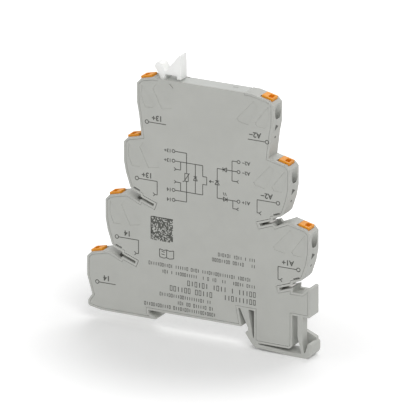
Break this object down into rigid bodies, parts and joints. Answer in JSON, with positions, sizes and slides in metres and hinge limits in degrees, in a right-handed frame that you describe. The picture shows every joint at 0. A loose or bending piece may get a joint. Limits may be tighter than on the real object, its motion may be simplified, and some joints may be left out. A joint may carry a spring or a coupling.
{
  "type": "optocoupler relay module",
  "caption": "Flat rail-mounted optocoupler relay module with push-in terminals on stepped tiers, a plug-in relay and an ejector lever.",
  "frame": {"origin": "middle of the rail, on its flanges, at half the module's thickness", "axes": "+Z away from the rail, +X from the output side to the input side, +Y along the rail, away from the printed face"},
  "size_m": [0.0795, 0.0062, 0.0929],
  "materials": {
    "grey_polyamide": "fine satin moulding",
    "orange_plastic": "satin",
    "spring_steel": "rolled strip",
    "tinned_copper": "tin plated",
    "board_laminate": "solder resist",
    "led_epoxy": "clear green",
    "clear_polycarbonate": "clear",
    "component_epoxy": "moulded",
    "varistor_lacquer": "dipped",
    "capacitor_ceramic": "ceramic",
    "relay_plastic": "satin",
    "lever_polycarbonate": "milky"
  },
  "bodies": {
    "module": {"housing_shell": "grey_polyamide", "side_cover": "grey_polyamide", "clamp_spring_out_1": "spring_steel", "clamp_spring_out_2": "spring_steel", "clamp_spring_out_3": "spring_steel", "clamp_spring_out_4": "spring_steel", "clamp_spring_in_1": "spring_steel", "clamp_spring_in_2": "spring_steel", "clamp_spring_in_3": "spring_steel", "output_supply_bar": "tinned_copper", "output_load_bar": "tinned_copper", "input_minus_bar": "tinned_copper", "input_plus_bar": "tinned_copper", "circuit_board": "board_laminate", "status_led": "led_epoxy", "series_resistor": "component_epoxy", "input_diode": "component_epoxy", "freewheel_diode": "component_epoxy", "surge_varistor": "varistor_lacquer", "smoothing_capacitor": "capacitor_ceramic", "light_guide": "clear_polycarbonate", "socket_contact_1": "tinned_copper", "socket_contact_2": "tinned_copper", "socket_contact_3": "tinned_copper", "socket_contact_4": "tinned_copper"},
    "button_out_1": {"release_button_out_1": "orange_plastic"},
    "button_out_2": {"release_button_out_2": "orange_plastic"},
    "button_out_3": {"release_button_out_3": "orange_plastic"},
    "button_out_4": {"release_button_out_4": "orange_plastic"},
    "button_in_1": {"release_button_in_1": "orange_plastic"},
    "button_in_2": {"release_button_in_2": "orange_plastic"},
    "button_in_3": {"release_button_in_3": "orange_plastic"},
    "relay": {"relay_case": "relay_plastic", "relay_base": "relay_plastic", "relay_pin_1": "tinned_copper", "relay_pin_2": "tinned_copper", "relay_pin_3": "tinned_copper", "relay_pin_4": "tinned_copper"},
    "lever": {"ejector_lever": "lever_polycarbonate"}
  },
  "joints": [
    {"name": "press_out_1", "type": "slide", "parent": "module", "child": "button_out_1", "axis": [0.2317, 0, -0.9728], "range_m": [0, 0.0012], "stiffness_N_per_m": 2000, "springref_m": -0.0002},
    {"name": "press_out_2", "type": "slide", "parent": "module", "child": "button_out_2", "axis": [0.2317, 0, -0.9728], "range_m": [0, 0.0012], "stiffness_N_per_m": 2000, "springref_m": -0.0002},
    {"name": "press_out_3", "type": "slide", "parent": "module", "child": "button_out_3", "axis": [0.2317, 0, -0.9728], "range_m": [0, 0.0012], "stiffness_N_per_m": 2000, "springref_m": -0.0002},
    {"name": "press_out_4", "type": "slide", "parent": "module", "child": "button_out_4", "axis": [0.2317, 0, -0.9728], "range_m": [0, 0.0012], "stiffness_N_per_m": 2000, "springref_m": -0.0002},
    {"name": "press_in_1", "type": "slide", "parent": "module", "child": "button_in_1", "axis": [-0.2317, 0, -0.9728], "range_m": [0, 0.0012], "stiffness_N_per_m": 2000, "springref_m": -0.0002},
    {"name": "press_in_2", "type": "slide", "parent": "module", "child": "button_in_2", "axis": [-0.2317, 0, -0.9728], "range_m": [0, 0.0012], "stiffness_N_per_m": 2000, "springref_m": -0.0002},
    {"name": "press_in_3", "type": "slide", "parent": "module", "child": "button_in_3", "axis": [-0.2317, 0, -0.9728], "range_m": [0, 0.0012], "stiffness_N_per_m": 2000, "springref_m": -0.0002},
    {"name": "lever_swing", "type": "hinge", "parent": "module", "child": "lever", "pos_m": [-0.013, 0, 0.077], "axis": [0, -1, 0], "range_deg": [0, 24]},
    {"name": "relay_lift", "type": "slide", "parent": "module", "child": "relay", "axis": [0, 0, 1], "range_m": [0, 0.0008]}
  ],
  "couplings": [
    {"joint": "lever_swing", "follows": "relay_lift", "rad_per_m": 523.5}
  ]
}
